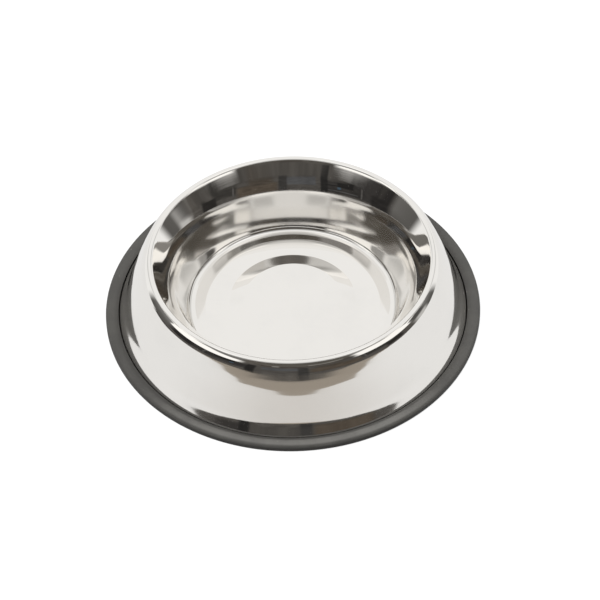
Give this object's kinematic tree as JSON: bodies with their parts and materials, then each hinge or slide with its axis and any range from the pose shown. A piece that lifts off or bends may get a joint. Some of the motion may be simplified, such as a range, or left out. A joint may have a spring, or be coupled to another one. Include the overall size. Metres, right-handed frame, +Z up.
{
  "type": "dog bowl",
  "caption": "Low wide dog bowl of mirror-polished sheet steel whose rim folds over into a flared skirt on a dark rubber foot ring.",
  "frame": {"origin": "centre of the foot ring, on the surface the bowl stands on", "axes": "+Z up along the axis of revolution, out of the bowl's mouth; +X to the right and -Y towards the viewer of the picture"},
  "size_m": [0.25, 0.25, 0.0502],
  "materials": {
    "polished_steel": "mirror polished stainless steel",
    "dark_rubber": "matte moulded rubber",
    "adhesive": "cured adhesive"
  },
  "bodies": {
    "root": {"steel_shell": "polished_steel", "rubber_ring": "dark_rubber", "adhesive_bead": "adhesive"}
  },
  "joints": []
}
